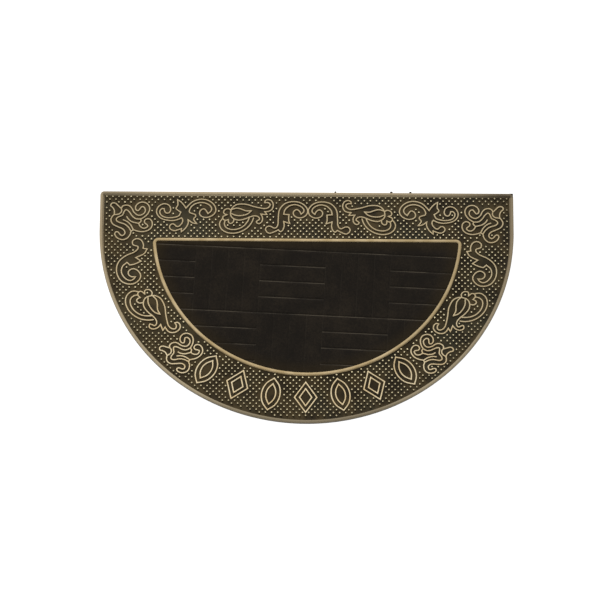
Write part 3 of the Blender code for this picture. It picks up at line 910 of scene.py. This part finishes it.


# %% [markdown]
# ## Rubber and paint
#
# The rubber is matt and dark brown, a little cloudy, with a fine moulded grain. The gold is brushed on with
# a nearly dry brush: it takes on the high places, thins out down their sides, and is rubbed through in
# specks. The paint on the inner rim is the warmest and thickest; painted shade darkens it on the right. On
# the outer rim it is greyer and a little darker towards the round edge, partly thinner paint and partly
# painted shade, and worn off the flank there. Painted shade darkens the outer rim on the right and, with
# thinner paint, in the middle of the round edge; it is also darker towards the corners of the straight
# edge, and a pale painted highlight lies on its inner flank along the straight edge.

# %% The rubber's own colour
RUBBER_DARK = screen(35, 28, 14)
RUBBER_BROWN = screen(62, 51, 29)
RUBBER_COOL = screen(46, 46, 34)
GOLD_PALE = screen(214, 198, 162)
GOLD_SAND = screen(200, 177, 134)
GOLD_LINE = screen(163, 147, 114)
GOLD_WARM = screen(184, 164, 126)
GOLD_DEEP = screen(162, 141, 101)
GOLD_BROWN = screen(138, 120, 86)
GOLD_GREY = screen(158, 142, 113)
GOLD_DULL = screen(153, 140, 113)
GOLD_WORN_SHADED = screen(94, 84, 66)
PIN_DIM = screen(124, 113, 86)
PIN_BRIGHT = screen(216, 202, 162)


def rubber_colour(look):
    """Cloudy dark brown, cooler in places and lighter towards the left."""
    lighter_on_left = look.step(look.part("X"), 0.28, -0.34) * 0.45 - 0.1
    cloud = look.step(look.noise(28.0, 4.0, 0.6), 0.35, 0.68) + lighter_on_left
    cool = look.step(look.noise(11.0, 2.0, 0.5), 0.45, 0.75) * 0.6
    return look.mix(cool, look.mix(cloud, RUBBER_DARK, RUBBER_BROWN), RUBBER_COOL)


def rubbed(look, amount, coarse=0.35, fine=0.35):
    """Where paint still is, given how much the brush left: patchy at two scales."""
    patches = (look.noise(70.0, 3.0, 0.6) - 0.5) * coarse
    specks = (look.noise(900.0, 2.0, 0.7) - 0.5) * fine
    return look.step(amount + patches + specks, 0.38, 0.62)


def finish_painted(look, base, paint, mask):
    """Join rubber and paint: colour, gloss and grain."""
    grain = look.noise(1500.0, 3.0, 0.6)
    ripple = look.noise(260.0, 2.0, 0.5)
    look.set(
        Base_Color=look.mix(mask, base, paint),
        Roughness=0.72 - mask * 0.2 + (grain - 0.5) * 0.2,
        Normal=look.bump(grain * 0.6 + ripple * 0.7 + mask * 0.15, 0.00012),
    )
    look.shader.inputs["Metallic"].default_value = 0.0
    look.shader.inputs["Specular IOR Level"].default_value = 0.12


# %% Finish of the moulded mat
mat_look = Look("brushed_rubber")
is_inner = mat_look.stored("inner_rim")
left_paint = mat_look.stored("paint")
towards_round_edge = mat_look.step(mat_look.part("Y"), 0.20, -0.20)
from_straight_edge = DEPTH / 2 * MM - mat_look.part("Y")
in_band = 1 - mat_look.step(from_straight_edge, 8.0 * MM, 9.0 * MM)
# Painted shade darkens the outer rim's gold on the right and, with thinner paint, in the middle of the round
# edge; it also darkens towards the corners of the straight edge.
at_front = mat_look.step(mat_look.part("Y"), -0.15, -0.215) * 0.62
at_corners = in_band * mat_look.step(mat_look.part("X") * mat_look.part("X"), 0.06, 0.13) * 0.4
from_brightest = (mat_look.part("X") + 0.13) / 0.48
share = 0.6 - towards_round_edge * 0.15
dimmed = from_brightest * from_brightest * share + at_front + at_corners
# Painted shade: the inner rim's gold is darker on the right.
right_shade = mat_look.step(mat_look.part("X"), 0.05, 0.27) * 0.45
# Greyer and a little darker towards the round edge: partly thinner paint, partly painted shade.
outer_gold = mat_look.mix(towards_round_edge, GOLD_GREY, GOLD_DULL)
# Painted highlight: the outer rim's inner flank along the straight edge is paler.
flank_highlight = mat_look.step(from_straight_edge, 3.2 * MM, 4.6 * MM) * in_band
outer_gold = mat_look.mix(flank_highlight * 0.4, outer_gold, GOLD_PALE)
outer_gold = mat_look.mix(dimmed, outer_gold, GOLD_WORN_SHADED)
inner_gold = mat_look.mix(mat_look.step(mat_look.noise(40.0, 3.0), 0.35, 0.7), GOLD_DEEP, GOLD_WARM)
inner_gold = mat_look.mix(right_shade, inner_gold, GOLD_BROWN)
rim_gold = mat_look.mix(is_inner, outer_gold, inner_gold)
from_arc_centre = mat_look.part("Y") - (DEPTH / 2 - STRAIGHT_SIDE) * MM
reach = (mat_look.part("X") * mat_look.part("X") + from_arc_centre * from_arc_centre) ** 0.5
on_flank = 1 - mat_look.step(reach, (WIDTH / 2 - 4.5) * MM, (WIDTH / 2 - 3.5) * MM)
bare_below = towards_round_edge * on_flank * (1 - is_inner) * 2.6 * MM + 3.6 * MM
above_bare = mat_look.step(mat_look.part("Z") - bare_below, -0.2 * MM, 0.6 * MM)
left_paint = left_paint * above_bare
finish_painted(mat_look, rubber_colour(mat_look), rim_gold, rubbed(mat_look, left_paint, 0.25, 0.3))
mat.data.materials.append(mat_look.material)

# %% Finish of the raised lines
ridge_look = Look("brushed_scrollwork")
ridge_height = ridge_look.step(ridge_look.part("Z"), 4.7 * MM, 5.9 * MM)
line_gold = ridge_look.mix(ridge_look.step(ridge_look.noise(35.0, 3.0), 0.3, 0.7), GOLD_PALE, GOLD_SAND)
to_back_right = (ridge_look.part("Y") + 0.10) / 0.3 + ridge_look.part("X") / 1.4
line_gold = ridge_look.mix(ridge_look.step(to_back_right, -0.3, 0.7) * 0.75, line_gold, GOLD_LINE)
finish_painted(ridge_look, RUBBER_DARK, line_gold, rubbed(ridge_look, ridge_height, 0.25, 0.3))
ridges.data.materials.append(ridge_look.material)

# %% Finish of the pins
pin_look = Look("brushed_pins")
pin_height = pin_look.step(pin_look.part("Z"), 5.6 * MM, 6.9 * MM)
pin_paint = pin_look.stored("paint")
pin_gold = pin_look.mix(pin_paint, PIN_DIM, PIN_BRIGHT)
finish_painted(pin_look, RUBBER_DARK, pin_gold, rubbed(pin_look, pin_height, 0.15, 0.2))
pins.data.materials.append(pin_look.material)

# %% Finish of the flash
flash_look = Look("bare_rubber")
finish_painted(flash_look, RUBBER_DARK, RUBBER_DARK, 0.0 * flash_look.noise(50.0))
flash.data.materials.append(flash_look.material)
print("rubber finishes", len(bpy.data.materials))

# %% [markdown]
# ## Felt
#
# Needle felt is a mat of short crossed fibres. Two noises stretched in different directions stand for them,
# with a few paler fibres among the black-brown ones. The hot plate melted the fibres in the deep grooves,
# so those are smoother, and a pale painted highlight lies in them, here more and there less, for the light
# their walls catch. Gold dust from the rim's paint tints the felt beside it.

# %% Finish of the insert
FELT_DARK = screen(18, 14, 9)
FELT_BROWN = screen(34, 28, 20)
FELT_DUSTED = screen(42, 32, 12)
FELT_GROOVE_HIGHLIGHT = screen(80, 72, 60)

felt_look = Look("needle_felt")
fibre_a = felt_look.noise(700.0, 3.0, 0.65, 0.6, (1.0, 0.35, 1.0))
fibre_b = felt_look.noise(700.0, 3.0, 0.65, 0.6, (0.35, 1.0, 1.0))
fibre = felt_look.node("ShaderNodeMath", {"operation": "MAXIMUM"}, {0: fibre_a, 1: fibre_b})
cloud = felt_look.noise(22.0, 3.0, 0.6)
deep = 1 - felt_look.step(felt_look.part("Z"), 5.3 * MM, 6.15 * MM)
# Painted highlight: the deep grooves are paler, here more and there less, for the light their walls catch.
groove_highlight = deep * (0.2 + felt_look.step(felt_look.noise(17.0, 2.0, 0.5), 0.38, 0.6) * 0.8)
aside = felt_look.part("X") - RIM_ASIDE * MM
above = felt_look.part("Y") - (RIM_STRAIGHT + RIM_CENTRE_BEYOND) * MM
from_centre = (aside * aside + above * above) ** 0.5
near_arc = felt_look.step(from_centre, 0.246, 0.272)
near_straight = felt_look.step(felt_look.part("Y"), 0.104, 0.126)
dust = (near_arc + near_straight) * 0.35
pale_fibres = felt_look.step(fibre + (cloud - 0.5) * 0.5, 0.42, 0.78)
felt_colour = felt_look.mix(pale_fibres, FELT_DARK, FELT_BROWN)
felt_colour = felt_look.mix(dust, felt_colour, FELT_DUSTED)
felt_look.set(
    Base_Color=felt_look.mix(groove_highlight * 0.8, felt_colour, FELT_GROOVE_HIGHLIGHT),
    Roughness=0.95 - deep * 0.3,
    Normal=felt_look.bump(fibre + cloud * 0.4, 0.0004, 0.9),
)
felt_look.shader.inputs["Specular IOR Level"].default_value = 0.15
insert.data.materials.append(felt_look.material)
print("felt on", insert.name)

# %% [markdown]
# ## Floor, light and camera
#
# The mat was photographed on a white light table, from well above and a long way off, with a soft lamp
# behind its straight edge on the left. A broad sun stands for the lamp, and a white world fills the
# shadows.

# %% The floor
bpy.ops.mesh.primitive_plane_add(size=60.0, location=(0.0, 0.0, -0.0002))
ground_sheet = bpy.context.object
ground_sheet.name = "studio_floor"
floor_look = Look("light_table")
floor_look.shader.inputs["Base Color"].default_value = (0.3, 0.3, 0.3, 1.0)
floor_look.shader.inputs["Roughness"].default_value = 0.9
floor_look.shader.inputs["Specular IOR Level"].default_value = 0.0
floor_look.shader.inputs["Emission Color"].default_value = (1.0, 1.0, 1.0, 1.0)
floor_look.shader.inputs["Emission Strength"].default_value = 0.95
ground_sheet.data.materials.append(floor_look.material)

# %% The light
scene = bpy.context.scene
scene.view_settings.view_transform = "Standard"
scene.world = bpy.data.worlds.new("studio")
scene.world.use_nodes = True
scene.world.node_tree.nodes["Background"].inputs["Color"].default_value = (1.0, 1.0, 1.0, 1.0)
scene.world.node_tree.nodes["Background"].inputs["Strength"].default_value = 0.62
SUN_HEIGHT = 42.0
SUN_SIDE = -18.0
SUN_STRENGTH = 2.7
SUN_SPREAD = 40.0
sun = bpy.data.lights.new("soft_lamp", "SUN")
sun.energy = SUN_STRENGTH
sun.angle = radians(SUN_SPREAD)
lamp = bpy.data.objects.new("soft_lamp", sun)
scene.collection.objects.link(lamp)
lamp.location = (0.0, 2.0, 2.0)
towards = Vector((
    sin(radians(SUN_SIDE)) * cos(radians(SUN_HEIGHT)), cos(radians(SUN_SIDE)) * cos(radians(SUN_HEIGHT)),
    sin(radians(SUN_HEIGHT)),
))
lamp.rotation_euler = towards.to_track_quat("Z", "Y").to_euler()

# %% The camera
CAMERA_HEIGHT = 66.8
CAMERA_DISTANCE = 8.0
CAMERA_ROLL = 0.36
AIM = Vector((-0.0112, 0.0133, 0.004))
PICTURE_WIDTH = 1.0794
camera = bpy.data.cameras.new("camera")
camera.sensor_width = 36.0
camera.lens = 36.0 * CAMERA_DISTANCE / PICTURE_WIDTH
camera.clip_end = 100.0
viewer = bpy.data.objects.new("camera", camera)
scene.collection.objects.link(viewer)
back = Vector((0.0, -cos(radians(CAMERA_HEIGHT)), sin(radians(CAMERA_HEIGHT))))
viewer.location = AIM + back * CAMERA_DISTANCE
level = back.to_track_quat("Z", "Y").to_matrix().to_4x4()
viewer.rotation_euler = (level @ Matrix.Rotation(radians(CAMERA_ROLL), 4, "Z")).to_euler()
scene.camera = viewer
